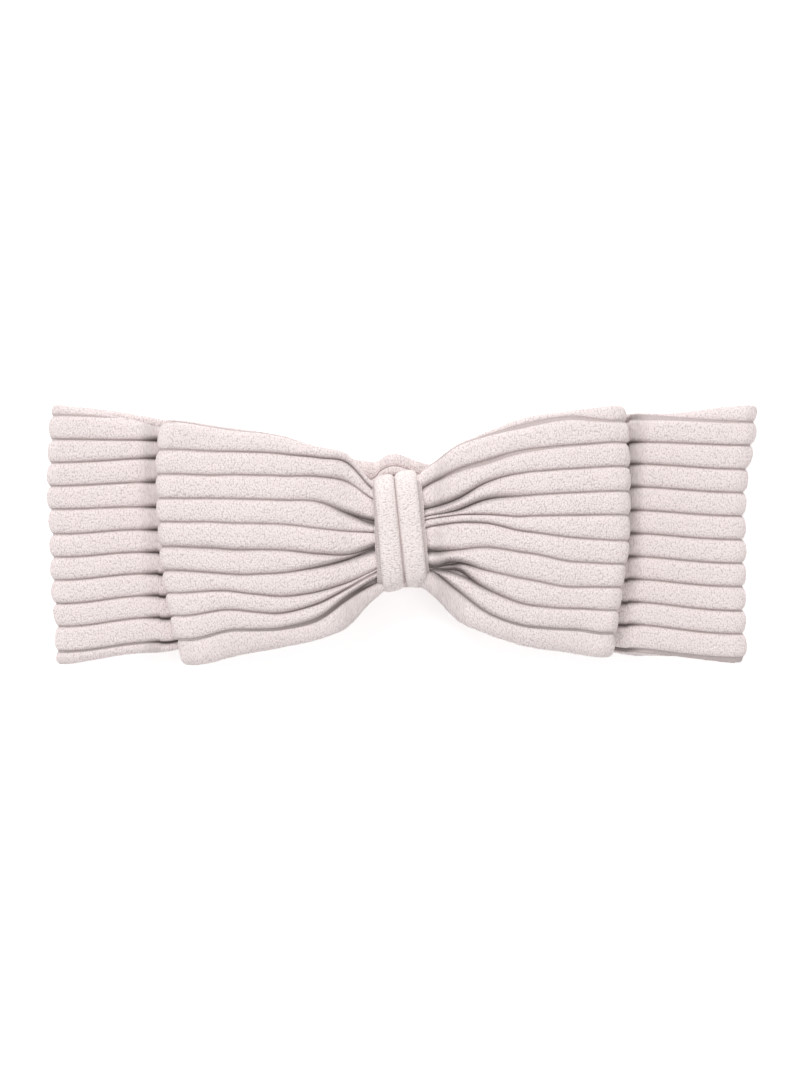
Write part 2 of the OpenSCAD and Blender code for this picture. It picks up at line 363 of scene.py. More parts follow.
def end_caps(rows, cols):
    """Polygons that close both ends of a tube, turned the way grid_faces turns."""
    return [list(range(cols)), list(range((rows - 1) * cols, rows * cols))[::-1]]


def tube_piece(name, tube, material, ring=False):
    """Turns a tube into a closed mesh: capped at its ends, or joined to itself where it's a ring."""
    rows, cols = tube.points.shape[:2]
    faces = grid_faces(rows, cols)
    # The fold attribute carries the painted shade of deep pleats and hollows
    attributes = {"groove": tube.groove_tag, "fold": tube.pleat_shade_tag, "cloth": tube.cloth}
    if ring:
        j = np.arange(cols)
        k = (j + 1) % cols
        last = (rows - 1) * cols
        faces = np.concatenate([faces, np.stack([last + j, j, k, last + k], 1)])
    return mesh_piece(name, tube.points, faces, material, attributes, () if ring else end_caps(rows, cols))


# ---------------------------------------------------------------- materials

def node(tree, kind, **values):
    made = tree.nodes.new(kind)
    for key, value in values.items():
        if key in made.inputs:
            made.inputs[key].default_value = value
        else:
            setattr(made, key, value)
    return made


def tone(level):
    """One channel of an sRGB colour, from 0 to 255, as light from 0 to 1."""
    c = level / 255
    return c / 12.92 if c <= 0.04045 else ((c + 0.055) / 1.055) ** 2.4


def linear(r, g, b):
    """An sRGB colour given from 0 to 255, as the renderer wants it."""
    return (tone(r), tone(g), tone(b), 1.0)


def darker(colour, share):
    return tuple(c * share for c in colour[:3]) + (1.0,)


def remap(tree, value, low_in, high_in):
    """A socket from 0 to 1 as value goes from low_in to high_in."""
    made = node(tree, "ShaderNodeMapRange")
    made.inputs["From Min"].default_value = low_in
    made.inputs["From Max"].default_value = high_in
    tree.links.new(value, made.inputs["Value"])
    return made.outputs["Result"]


def mix(tree, a, b, factor, strength=1.0):
    """Colour a turning into b by factor times strength."""
    made = node(tree, "ShaderNodeMix", data_type="RGBA")
    scaled = node(tree, "ShaderNodeMath", operation="MULTIPLY", use_clamp=True)
    scaled.inputs[1].default_value = strength
    tree.links.new(factor, scaled.inputs[0])
    tree.links.new(scaled.outputs[0], made.inputs["Factor"])
    for value, socket in ((a, made.inputs["A"]), (b, made.inputs["B"])):
        if isinstance(value, tuple):
            socket.default_value = value
        else:
            tree.links.new(value, socket)
    return made.outputs["Result"]


def new_material(name, settings):
    """A material whose shader has these inputs, with its node tree and its shader."""
    mat = bpy.data.materials.new(name)
    mat.use_nodes = True
    shader = mat.node_tree.nodes["Principled BSDF"]
    for key, value in settings.items():
        shader.inputs[key].default_value = value
    return mat, mat.node_tree, shader


def relief(tree, shader, height, strength, distance):
    """Lets a height tilt the shader's normal."""
    bump = node(tree, "ShaderNodeBump", Strength=strength, Distance=distance)
    tree.links.new(height, bump.inputs["Height"])
    tree.links.new(bump.outputs["Normal"], shader.inputs["Normal"])


def fabric_textures(tree):
    """Loops, fibres and a broad drift, laid out in the cloth's own millimetres."""
    cloth = node(tree, "ShaderNodeAttribute", attribute_name="cloth")
    wales = node(tree, "ShaderNodeMapping")
    wales.inputs["Scale"].default_value = (1.9, 1.2, 1.0)
    loop = node(tree, "ShaderNodeTexVoronoi", voronoi_dimensions="2D", Scale=1.0, Randomness=0.85)
    fibre = node(tree, "ShaderNodeTexNoise", Scale=3.2, Detail=3.0, Roughness=0.7)
    broad = node(tree, "ShaderNodeTexNoise", Scale=0.16, Detail=3.0, Roughness=0.6)
    tree.links.new(cloth.outputs["Vector"], wales.inputs["Vector"])
    tree.links.new(wales.outputs["Vector"], loop.inputs["Vector"])
    tree.links.new(cloth.outputs["Vector"], fibre.inputs["Vector"])
    tree.links.new(cloth.outputs["Vector"], broad.inputs["Vector"])
    return loop.outputs["Distance"], fibre.outputs["Fac"], broad.outputs["Fac"]


def fabric_material(name, rib, ground, deep):
    """Terry pile: light loops on the ribs, a flatter and greyer ground in the grooves.

    Deep pleats, hollows and the pressed grooves beside the bow are darker by their depth: painted shade."""
    mat, tree, shader = new_material(name, {
        "Roughness": 0.92, "Specular IOR Level": 0.12, "Sheen Weight": 0.25,
        "Sheen Roughness": 0.6, "Sheen Tint": (1.0, 0.95, 0.94, 1.0)})
    loop, fibre, broad = fabric_textures(tree)
    groove = node(tree, "ShaderNodeAttribute", attribute_name="groove").outputs["Fac"]
    fold = node(tree, "ShaderNodeAttribute", attribute_name="fold").outputs["Fac"]
    warm = (rib[0] * 1.01, rib[1] * 0.965, rib[2] * 0.955, 1.0)
    base = mix(tree, rib, warm, broad, 0.9)
    # The loops' pattern is the cloth's own; the darker gaps between loops are painted shade, and the paler
    # loop tops on the next line are a painted highlight
    base = mix(tree, base, darker(rib, 0.62), remap(tree, loop, 0.40, 0.78), 0.7)
    base = mix(tree, base, LOOP_HEAD, remap(tree, loop, 0.34, 0.08), 0.85)
    base = mix(tree, base, darker(rib, 0.8), remap(tree, fibre, 0.5, 0.75), 0.5)
    base = mix(tree, base, ground, groove, 0.95)
    # Painted shade in deep pleats, hollows and the pressed grooves beside the bow
    base = mix(tree, base, deep, fold, 0.8)
    tree.links.new(base, shader.inputs["Base Color"])
    height = node(tree, "ShaderNodeMath", operation="MULTIPLY_ADD")
    height.inputs[1].default_value = -1.0
    tree.links.new(loop, height.inputs[0])
    tree.links.new(fibre, height.inputs[2])
    relief(tree, shader, height.outputs[0], 0.8, 0.0005)
    return mat


def plain_weave(name, colour, scale):
    """Narrow woven goods: crossing threads from two wave textures."""
    mat, tree, shader = new_material(name, {"Roughness": 0.8})
    place = node(tree, "ShaderNodeTexCoord")
    total = node(tree, "ShaderNodeMath", operation="MULTIPLY")
    for i, direction in enumerate(("X", "Y")):
        wave = node(tree, "ShaderNodeTexWave", bands_direction=direction, Scale=scale, Distortion=0.4)
        tree.links.new(place.outputs["Object"], wave.inputs["Vector"])
        tree.links.new(wave.outputs["Fac"], total.inputs[i])
    base = mix(tree, darker(colour, 0.7), colour, total.outputs[0])
    tree.links.new(base, shader.inputs["Base Color"])
    relief(tree, shader, total.outputs[0], 0.5, 0.0003)
    return mat


LOOP_HEAD = linear(255, 251, 249)      # the lit top of a loop, paler than its sides
# The last colour of each terry is the painted shade of deep pleats and hollows
TERRY = fabric_material("terry", linear(249, 236, 235), linear(205, 191, 189), linear(88, 74, 73))
# A paler copy of the terry for the knot, which stands highest: painted light
TERRY_KNOT_LIT = fabric_material("terry_painted_light", linear(254, 243, 241), linear(212, 198, 196),
                              linear(96, 82, 81))
ELASTIC = plain_weave("woven_elastic", linear(240, 236, 230), 260.0)
THREAD = plain_weave("sewing_thread", linear(226, 208, 206), 900.0)


# ---------------------------------------------------------------- the band

BAND_RISE = 1.45
BAND_THICK = 1.5
BACK_MID_Z = BAND_RISE + BAND_THICK
FRONT_MID_Z = FRONT_TOP_Z - BACK_MID_Z
NOSE_R = (FRONT_MID_Z - BACK_MID_Z) / 2
NOSE_X = FOLD_X - NOSE_R - BACK_MID_Z
NAPE_JOIN_X = 16.0
BAND_SEED = 20
FLOOR_GAP = 0.05        # the lowest cloth, just clear of the table
LAYER_GAP = 0.24        # from the fold's height to the inner face of either layer
INNER_RISE = 0.2        # the flattened ribs of the inner faces
CREASE_REACH = 2.6      # how much further out the inner faces meet than the middle line turns
NAPE_LOW, NAPE_HIGH = low("nape_outer_wall")[1], high("nape_outer_wall")[1]

# Grooves of the front layer, bottom to top, at its folded end and where it goes under the bow
LEFT_END = (-39.3, -31.0, -23.3, -15.4, -7.7, 0.0, 8.3, 16.0, 23.8, 31.6, 39.7)
LEFT_IN = (-36.1, -27.9, -20.5, -13.1, -5.9, 1.6, 9.1, 17.4, 25.4, 31.4, 38.4)
RIGHT_END = (-41.9, -33.4, -25.7, -17.7, -9.9, -2.0, 5.9, 13.7, 21.5, 29.5, 37.3)
RIGHT_IN = (-38.8, -30.3, -22.7, -15.0, -7.4, 0.3, 8.0, 15.7, 23.3, 30.6, 38.9)
GROOVES = len(LEFT_END)

# How far out the folded ends reach, at these heights
LEFT_REACH_Y = (-43, -40, -29, -20, 0, 12, 29, 39, 43)
LEFT_REACH = (117.3, 116.9, 116.9, 117.9, 118.5, 119.3, 119.0, 118.6, 118.9)
RIGHT_REACH_Y = (-43, -40, -35, -13, 12, 20, 28, 36, 40, 43)
RIGHT_REACH = (116.2, 115.8, 115.4, 115.4, 115.5, 116.2, 117.8, 118.9, 119.5, 120.2)


def wander(x, k, seed, size=16.0, amount=0.3):
    """A slow sideways drift, different for each groove."""
    return waves(np.asarray(x, float), np.full(np.shape(x), k * 3.7), size, seed) * amount


def end_shift(side, y):
    """How far the folded end stands from a straight line at each height."""
    if side < 0:
        return through(LEFT_REACH_Y, LEFT_REACH, y) - FOLD_X
    return through(RIGHT_REACH_Y, RIGHT_REACH, y) - FOLD_X


def band_front_lines(side, x):
    """Groove heights, channel widths and the two edges of the front layer, x from the middle."""
    ends, inner = (LEFT_END, LEFT_IN) if side < 0 else (RIGHT_END, RIGHT_IN)
    inner_x = 82.0 if side < 0 else 76.0
    outer_x = FOLD_X - 3
    t = ease((outer_x - x) / (outer_x - inner_x))[:, None]
    lines = np.array(ends) * (1 - t) + np.array(inner) * t
    lines = lines + np.stack([wander(x, k, 11 + side) for k in range(GROOVES)], 1)
    if side < 0:
        top = through((116, 105, 96, 88, 82, 60, FLEX_X, 10),
                      (43.2, 41.6, 39.6, 38.0, 36.9, 33.0, 24, 14), x)
        bottom = through((116, 105, 95, 76, 60, FLEX_X, 10),
                         (-43.6, -42.0, -40.4, -38.8, -34.5, -25, -14), x)
        centre_in, half_in = -1.0, 37.9
    else:
        top = through((119, 107, 100, 90, 76, 60, FLEX_X, 10),
                      (43.2, 42.6, 41.5, 40.5, 40.3, 36.0, 25, 14), x)
        bottom = through((116, 93, 71, 60, FLEX_X, 10), (-43.1, -40.9, -39.7, -36.5, -25, -14), x)
        centre_in, half_in = 0.4, 40.6
    squeeze = np.where(x < inner_x, np.clip((top - bottom) / 2 / half_in, 0, 1), 1.0)[:, None]
    centre = np.where(x < inner_x, (top + bottom) / 2, centre_in)[:, None]
    lines = centre + (lines - centre_in) * squeeze
    lines = np.clip(lines, bottom[:, None] + 0.8, top[:, None] - 0.8)
    channels = np.full_like(lines, THIN_GROOVE)
    if side > 0:
        channels[:, -1] = through((118, 103, 90, 76), (0.6, 0.9, 1.5, 2.2), x)
        channels[:, 0] = through((116, 93, 71), (1.9, 1.6, 1.5), x)
    return lines, channels * np.clip(squeeze, 0.3, 1), bottom, top


def edge_ribs(side, x):
    """Share of a full rib on the lower and upper edges: on the right the channels reach the edge."""
    if side < 0:
        return np.ones_like(x), np.ones_like(x)
    inward = ease((66 - x) / 10)
    return np.maximum(0.15, inward), np.maximum(through((112, 94), (1.0, 0.15), x), inward)


def band_back_lines(side, x):
    """The same for the back layer, which narrows and climbs to the shirred nape."""
    across, x = side * x, np.abs(x)
    stations = (FOLD_X - 4, 80, FLEX_X, 14, 0)
    top = through(stations, (BAND_HALF, 38.5, NAPE_HIGH + 0.3, NAPE_HIGH - 1.5, NAPE_HIGH - 1.5), x)
    bottom = through(stations, (-BAND_HALF, -35, NAPE_LOW, NAPE_LOW + 0.5, NAPE_LOW + 0.6), x)
    hump = through((-16, -12, -9, -6.5, -4.5, -1.5, 1.6, 5, 9, 14, 20),
                   (25.0, 24.6, 24.3, 25.8, 26.7, 26.9, 25.9, 24.5, 23.6, 23.4, 25.2), across)
    crease = through((-14, -8.6, -7.2, -4.9, -1.5, 1.6, 4.3, 10, 16),
                     (18.4, 19.6, 21.6, 23.1, 23.5, 23.1, 22.7, 21.4, 21.8), across)
    middle = ease((20 - x) / 6)
    top = top * (1 - middle) + hump * middle
    share = (np.arange(GROOVES) + 0.45) / GROOVES
    lines = bottom[:, None] + (top - bottom)[:, None] * share
    pulled = bottom[:, None] + (crease - bottom)[:, None] * (np.arange(GROOVES) + 0.6) / (GROOVES - 0.4)
    lines = lines * (1 - middle[:, None]) + pulled * middle[:, None]
    drift = np.stack([wander(x, k, 5) for k in range(GROOVES)], 1)
    lines = lines + drift * 0.6 * (1 - middle[:, None])
    channels = THIN_GROOVE * ((top - bottom) / (2 * BAND_HALF))[:, None] * np.ones(GROOVES)
    return lines, channels, bottom, top


def blend_lines(a, b, t):
    """Row by row mix of two sets of lines, a where t is 0 and b where it is 1."""
    mixed = []
    for p, q in zip(a, b):
        share = t.reshape(-1, *[1] * (p.ndim - 1))
        mixed.append(p * (1 - share) + q * share)
    return mixed


def nape_rise(x):
    """The ribs of the back layer's upper face, which shows above the knot."""
    return INNER_RISE + 1.1 * ease((26 - np.abs(x)) / 10)


def shirring(x, y):
    """Puckers across the nape, where the stretched elastic has pulled back. They only rise."""
    strength = ease((FLEX_X + 8 - x) / 16)
    return -0.35 * strength * (1 + np.sin(x * 1.35 + 0.8 * np.sin(y * 0.23)))


def side_name(side):
    return "left" if side < 0 else "right"


def band_back(side):
    """From the nape out to the split. The two meet under the bow's right loop, not in the middle."""
    first = side * NAPE_JOIN_X
    x = np.append(np.arange(first, SPLIT_X - 0.2, HIDDEN_STEP * 0.7), SPLIT_X)
    tube = Tube(side * x, np.full_like(x, BACK_MID_Z), np.zeros_like(x), -np.ones_like(x),
                *band_back_lines(side, x), BAND_THICK, BAND_RISE, seed=BAND_SEED, arc_start=first,
                inner_samples=8, inner_rise=nape_rise(x), shape=shirring)
    tube.press(slice(None), FLOOR_GAP)
    tube.press(x > FLEX_X + 8, FLOOR_GAP, FOLD_Z - LAYER_GAP)
    label = side_name(side)
    obj = tube_piece(f"band_back_{label}", tube, TERRY)
    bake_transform(obj)
    if side < 0:
        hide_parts("nape_outer_wall", "nape_inner_wall")


def pinched(side, x):
    """Where the grooves are pressed in beside the bow's folded ends, from 0 to 1."""
    reach = BOW_END_LEFT if side < 0 else BOW_END_RIGHT
    return ease((reach + 8 - x) / 9) * ease((x - SPLIT_X - 2) / 6)


def fold_path(side):
    """The fold's middle line: places, normals, how far round the turn each row is, from 0 to 1,
    and the numbers of the rows where the turn starts and ends."""
    out = np.arange(SPLIT_X, NOSE_X, HIDDEN_STEP)
    phi = np.linspace(0, math.pi, 40)[1:-1]
    back_in = np.append(np.arange(NOSE_X, SPLIT_X + 0.2, -ROW_STEP), SPLIT_X)
    x = np.concatenate([out, NOSE_X + NOSE_R * np.sin(phi), back_in])
    z = np.concatenate([np.full_like(out, BACK_MID_Z), FOLD_Z - NOSE_R * np.cos(phi),
                        np.full_like(back_in, FRONT_MID_Z)])
    nx = np.concatenate([np.zeros_like(out), np.sin(phi), np.zeros_like(back_in)]) * side
    nz = np.concatenate([-np.ones_like(out), -np.cos(phi), np.ones_like(back_in)])
    turn = np.concatenate([np.zeros_like(out), phi / math.pi, np.ones_like(back_in)])
    return x, z, nx, nz, turn, len(out), len(out) + len(phi)


def band_fold(side):
    """From the split, out along the back, round the fold and in along the front."""
    x, z, nx, nz, turn, turn_start, turn_end = fold_path(side)
    flat_x = np.minimum(x, NOSE_X)
    lines = blend_lines(band_back_lines(side, flat_x), band_front_lines(side, flat_x), ease(turn * 1.6 - 0.1))
    bent = np.sin(turn * math.pi)
    ribs = [1 - turn * (1 - share) for share in edge_ribs(side, flat_x)]
    # The depth of the pressed grooves also sets the painted shade beside the bow
    pinch = 2.0 * (turn == 1) * pinched(side, x)
    tube = Tube(side * x, z, nx, nz, *lines, BAND_THICK + 0.1 * bent, BAND_RISE - 0.1 * bent,
                flat=FLAT_TOP - 1.3 * bent, seed=BAND_SEED, inner_rise=INNER_RISE, inner_samples=8,
                edge_scales=ribs, arc_start=SPLIT_X, depth=pinch[:, None] * np.ones(GROOVES),
                depth_width=0.75)
    tube.press(slice(None), FLOOR_GAP)
    tube.press(slice(0, turn_start), FLOOR_GAP, FOLD_Z - LAYER_GAP)
    tube.press(slice(turn_end, None), FOLD_Z + LAYER_GAP)
    tube.shift_end(side, SPLIT_X, NOSE_X, end_shift)
    crease = CREASE_REACH * ease((x - NOSE_X + 9) / 9)
    tube.points[:, :, 0] += side * crease[:, None] * tube.inside**3
    label = side_name(side)
    obj = tube_piece(f"band_fold_{label}", tube, TERRY)
    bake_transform(obj)
    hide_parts(f"back_outer_wall_{label}", f"back_inner_wall_{label}",
                f"front_outer_wall_{label}", f"front_inner_wall_{label}")


def waist_mid(x):
    """Height of the front layer's middle line: it climbs to the bow where the knot grips it."""
    waist = high("waist_outer_wall")[2] - 2.3
    return through((FLEX_X + 6, FLEX_X, 12, 0), (FRONT_MID_Z, FRONT_MID_Z, waist, waist), x)


FRONT_ARC = SPLIT_X + 2 * (NOSE_X - SPLIT_X) + math.pi * (NOSE_R + BAND_THICK + BAND_RISE)


def front_rows(side, first, last, elbow=False):
    """The front layer from first to last; an elbow goes on round the flex, inside the waist."""
    x = np.append(np.arange(first, last + 0.3, -HIDDEN_STEP * 0.8), last)
    z = waist_mid(x)
    slope = np.gradient(z, x)
    nx, nz = -slope / np.hypot(1, slope), 1 / np.hypot(1, slope)
    near = ease((FLEX_X - x) / 20)
    thick, rise = BAND_THICK * (1 - 0.25 * near), BAND_RISE * (1 - 0.35 * near)
    lines = band_front_lines(side, x)
    if elbow:
        phi = np.radians(np.arange(4, 63, 4))
        radius = FRONT_MID_Z - FOLD_Z
        shrink = np.minimum(phi / np.radians(12), 1)
        x = np.concatenate([x, last - radius * np.sin(phi)])
        z = np.concatenate([z, FOLD_Z + radius * np.cos(phi)])
        nx, nz = np.concatenate([nx, -np.sin(phi)]), np.concatenate([nz, np.cos(phi)])
        more = band_front_lines(side, np.full_like(phi, last))
        lines = [np.concatenate([a, b]) for a, b in zip(lines, more)]
        lines[2][-len(phi):] += 0.5 * shrink
        lines[3][-len(phi):] -= 0.5 * shrink
        thick = np.concatenate([thick, BAND_THICK * (1 - 0.08 * shrink)])
        rise = np.concatenate([rise, BAND_RISE * (1 - 0.2 * shrink)])
    return Tube(side * x, z, side * nx, nz, *lines, thick, rise, seed=BAND_SEED,
                arc_start=FRONT_ARC + SPLIT_X - first)


def band_front_left():
    obj = tube_piece("band_front_left", front_rows(-1, SPLIT_X, 0.0), TERRY)
    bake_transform(obj)
    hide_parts("waist_outer_wall", "waist_inner_wall")


def band_front_right():
    """Two pieces, because the loop is opened at this flex."""
    outer = tube_piece("band_front_right", front_rows(1, SPLIT_X, FLEX_X, elbow=True), TERRY)
    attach(outer, "front_right")
    inner = tube_piece("band_waist_right", front_rows(1, FLEX_X, 0.0), TERRY)
    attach(inner, "knot")


# ---------------------------------------------------------------- the bow
# Each line runs through the same stations, given as distances from the middle of the bow

LEFT_STATIONS = (79, 58, 40, 27, 18, 10, 0)
LEFT_TOP = (38.0, 35.4, 32.8, 28.8, 26.6, 17.6, 13.0)
LEFT_BOTTOM = (-43.4, -39.8, -37.2, -34.4, -30.6, -22.2, -16.0)
LEFT_GROOVES = (
    (-34.8, -31.4, -31.0, -27.4, -20.9, -16.2, -12.5),
    (-27.1, -24.8, -26.0, -22.4, -17.8, -13.5, -9.5),
    (-19.5, -18.6, -20.5, -18.6, -15.8, -12.3, -7.6),
    (-11.9, -13.0, -12.8, -10.4, -8.1, -5.5, -3.6),
    (-4.1, -5.0, -5.3, -6.4, -6.6, -4.6, -2.4),
    (4.0, 3.6, 3.2, 1.9, 1.1, 0.6, 0.2),
    (11.7, 11.5, 11.0, 10.4, 6.8, 3.9, 3.0),
    (19.7, 19.2, 18.9, 18.7, 17.0, 11.6, 7.0),
    (27.8, 27.0, 26.2, 24.9, 23.3, 15.0, 10.5),
    (37.1, 34.4, 31.8, 27.9, 25.8, 17.0, 12.4),
)
LEFT_DEPTH = (
    (0.0, 0.0, 0.2, 0.9, 1.6, 2.8, 2.8),
    (0.0, 0.0, 0.3, 0.5, 0.4, 0.2, 0.2),
    (0.0, 0.0, 0.3, 0.7, 0.7, 0.2, 0.2),
    (0.3, 0.3, 0.3, 1.0, 1.9, 2.6, 2.6),
    (0.3, 0.6, 0.3, 0.7, 0.9, 2.0, 2.0),
    (0.0, 0.0, 0.0, 0.0, -0.5, -0.8, -0.8),
    (0.0, 0.0, 0.0, 0.5, 1.7, 3.2, 3.2),
    (0.0, 0.0, 0.0, 0.3, 0.4, -0.4, -0.4),
    (0.0, 0.0, 0.0, 0.3, 0.6, 0.9, 0.9),
    (0.0, 0.0, 0.0, 0.0, 0.0, 0.0, 0.0),
)
LEFT_WIDE = {0: (0.5, 0.5, 0.8, 1.3, 1.5, 1.3, 1.2), 1: (0.5, 0.5, 0.5, 0.5, 0.8, 0.9, 0.9)}

RIGHT_STATIONS = (73, 56, 40, 27, 18, 10, 0)
RIGHT_TOP = (42.4, 40.6, 38.2, 33.4, 29.8, 23.9, 17.0)
RIGHT_BOTTOM = (-40.8, -38.7, -36.6, -32.6, -28.4, -20.4, -15.0)
RIGHT_GROOVES = (
    (-32.6, -31.0, -29.9, -25.0, -18.2, -12.3, -9.5),
    (-25.1, -24.3, -22.9, -17.6, -12.5, -11.6, -8.9),
    (-17.4, -17.3, -14.8, -11.8, -9.4, -10.9, -8.2),
    (-9.8, -9.0, -6.2, -4.4, -5.2, -5.9, -4.0),
    (-2.1, -1.3, 0.9, 3.8, 3.9, 2.5, 0.2),
    (6.4, 6.0, 5.8, 6.6, 6.3, 4.9, 3.0),
    (14.1, 13.4, 12.6, 11.4, 8.0, 6.2, 4.6),
    (22.1, 21.3, 20.2, 16.8, 11.7, 8.8, 7.4),
    (30.1, 29.0, 27.3, 23.7, 21.0, 17.1, 12.4),
    (37.0, 38.0, 35.6, 32.2, 28.8, 22.9, 16.4),
)
RIGHT_DEPTH = (
    (0.0, 0.0, 0.3, 0.7, 1.2, 1.6, 1.6),
    (0.0, 0.0, 0.4, 1.3, 3.0, 2.6, 2.6),
    (0.0, 0.0, 0.3, 0.6, 2.2, 2.4, 2.4),
    (0.0, 0.0, 0.2, 0.4, 0.7, 2.2, 2.2),
    (0.0, 0.0, 0.0, 0.2, 0.2, 0.0, 0.0),
    (0.0, 0.0, -0.2, -0.7, -0.7, -0.7, -0.7),
    (0.0, 0.0, 0.3, 1.4, 1.4, -0.3, -0.4),
    (0.0, 0.0, 0.0, 0.9, 1.8, 1.4, 1.2),
    (0.0, 0.0, 0.0, 0.3, 0.4, 0.8, 1.0),
    (0.0, 0.0, 0.0, 0.0, 0.0, 0.0, 0.0),
)
RIGHT_WIDE = {9: (0.6, 1.3, 1.5, 0.6, 0.5, 0.5, 0.5), 8: (0.5, 0.6, 1.1, 1.6, 1.2, 0.7, 0.6)}

BOW_THICK = 1.3
BOW_RISE = 1.35
BOW_TIP_Z = high("bow_back_left")[2]
BOW_BACK_MID = BOW_BACK_Z + BOW_RISE + BOW_THICK
BOW_NOSE_R = BOW_TIP_Z - BOW_BACK_MID
BOW_FRONT_MID = BOW_TIP_Z + BOW_NOSE_R
WAIST_FRONT_MID = high("bow_waist_front")[2] - BOW_RISE - BOW_THICK
WAIST_BACK_MID = low("bow_waist_back")[2] + BOW_RISE + BOW_THICK - 0.4


# How far out the loops' ends reach, at these heights
LEFT_LOOP_Y = (-43, -30, -17, -4, 13, 29, 37)
LEFT_LOOP_REACH = (73.7, 76.4, 78.9, 80.5, 81.4, 81.2, 80.2)
RIGHT_LOOP_Y = (-39, -30, -21, -13, -5, 4, 18, 32, 42)
RIGHT_LOOP_REACH = (70.4, 71.1, 72.4, 73.6, 74.9, 75.3, 75.4, 74.8, 74.5)


def lobe_end_shift(side, y):
    """How far the lobe's folded end stands from a straight line at each height."""
    if side < 0:
        return through(LEFT_LOOP_Y, LEFT_LOOP_REACH, y) - BOW_END_LEFT
    return through(RIGHT_LOOP_Y, RIGHT_LOOP_REACH, y) - BOW_END_RIGHT


def bow_front_lines(side, x):
    """Groove heights, channel widths, the two edges and the pleats' depth on a loop's front."""
    stations, tops, bottoms, grooves, depths, wide = (
        (LEFT_STATIONS, LEFT_TOP, LEFT_BOTTOM, LEFT_GROOVES, LEFT_DEPTH, LEFT_WIDE) if side < 0 else
        (RIGHT_STATIONS, RIGHT_TOP, RIGHT_BOTTOM, RIGHT_GROOVES, RIGHT_DEPTH, RIGHT_WIDE))
    top, bottom = through(stations, tops, x), through(stations, bottoms, x)
    lines = np.stack([through(stations, g, x) for g in grooves], 1)
    lines += np.stack([wander(x, k, 61 + side, 9.0, 0.25) for k in range(len(grooves))], 1)
    depth = np.stack([through(stations, d, x) for d in depths], 1)
    thin = THIN_GROOVE * np.clip(np.diff(lines, axis=1).mean(1) / PITCH, 0.5, 1)
    channels = np.stack([through(stations, wide[k], x) if k in wide else thin
                         for k in range(len(grooves))], 1)
    return lines, channels, bottom, top, depth


def bow_back_lines(side, x):
    """The same for a loop's back: evenly spaced grooves, a little inside the front's edges."""
    _, _, bottom, top, depth = bow_front_lines(side, x)
    count = depth.shape[1]
    inset = 0.8 * ease((70 - x) / 20)
    bottom, top = bottom + inset, top - inset
    share = (np.arange(count) + (0.9 if side < 0 else 0.6)) / (count + 0.3)
    lines = bottom[:, None] + (top - bottom)[:, None] * share
    channels = np.full_like(lines, THIN_GROOVE) * np.clip((top - bottom) / 80, 0.35, 1)[:, None]
    return lines, channels, bottom, top, np.zeros_like(lines)


def bow_swell(side, x, y):
    """The lobes puff up between the knot and the folded ends, and a fold gapes right of the knot."""
    puff = 2.2 * ease((x - 12) / 22) * ease((76 - x) / 30) * np.clip(1 - (y / 46) ** 2, 0, 1)
    gape = 2.4 * np.exp(-((x - 18.6) / 4.2) ** 2 - ((y + 11.8 + (x - 18.6) * 0.55) / 1.9) ** 2)
    return puff - (gape if side > 0 else 0)


def lobe_path(nose_x):
    """A loop's middle line: places, directions and how far round the turn each row is."""
    out = np.arange(0, nose_x, HIDDEN_STEP)
    phi = np.linspace(0, math.pi, 42)[1:-1]
    back_in = np.append(np.arange(nose_x, 0.2, -ROW_STEP), 0.0)
    z_back = through((46, 30, 14, 0),
                     (BOW_BACK_MID, BOW_BACK_MID + 0.6, WAIST_BACK_MID, WAIST_BACK_MID), out)
    z_front = through((nose_x - 6, 50, 34, 12, 0),
                      (BOW_FRONT_MID, BOW_FRONT_MID + 0.8, WAIST_FRONT_MID + 0.2,
                       WAIST_FRONT_MID, WAIST_FRONT_MID), back_in)
    x = np.concatenate([out, nose_x + BOW_NOSE_R * np.sin(phi), back_in])
    z = np.concatenate([z_back, BOW_TIP_Z - BOW_NOSE_R * np.cos(phi), z_front])
    tx, tz = np.gradient(x), np.gradient(z)
    size = np.hypot(tx, tz)
    turn = np.concatenate([np.zeros_like(out), phi / math.pi, np.ones_like(back_in)])
    return x, z, tx / size, tz / size, turn


def bow_lobe(side):
    """One loop of the bow as one tube: out along its back, round its end, in along its front."""
    reach = BOW_END_LEFT if side < 0 else BOW_END_RIGHT
    nose_x = reach - (BOW_NOSE_R + BOW_THICK + BOW_RISE)
    x, z, tx, tz, turn = lobe_path(nose_x)
    flat_x = np.minimum(x, nose_x)
    lines, channels, bottom, top, depth = blend_lines(
        bow_back_lines(side, flat_x), bow_front_lines(side, flat_x), ease(turn * 1.6 - 0.1))
    front = (turn > 0.5)[:, None]
    thick = BOW_THICK * (1 - 0.25 * ease((20 - flat_x) / 12))
    bent = np.sin(turn * math.pi)
    tube = Tube(side * x, z, side * tz, -tx, lines, channels, bottom, top,
                thick + 0.35 * bent, BOW_RISE - 0.35 * bent, flat=3.4 - 0.8 * bent, depth=depth,
                seed=70 + side, inner_rise=0.3, shape=lambda px, py: front * bow_swell(side, px, py))
    tube.shift_end(side, 30, nose_x, lobe_end_shift)
    label = side_name(side)
    obj = tube_piece(f"bow_loop_{label}", tube, TERRY)
    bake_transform(obj)
    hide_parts(f"bow_back_{label}", f"bow_front_{label}")
    if side < 0:
        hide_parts("bow_waist_back", "bow_waist_front")


# ---------------------------------------------------------------- the knot

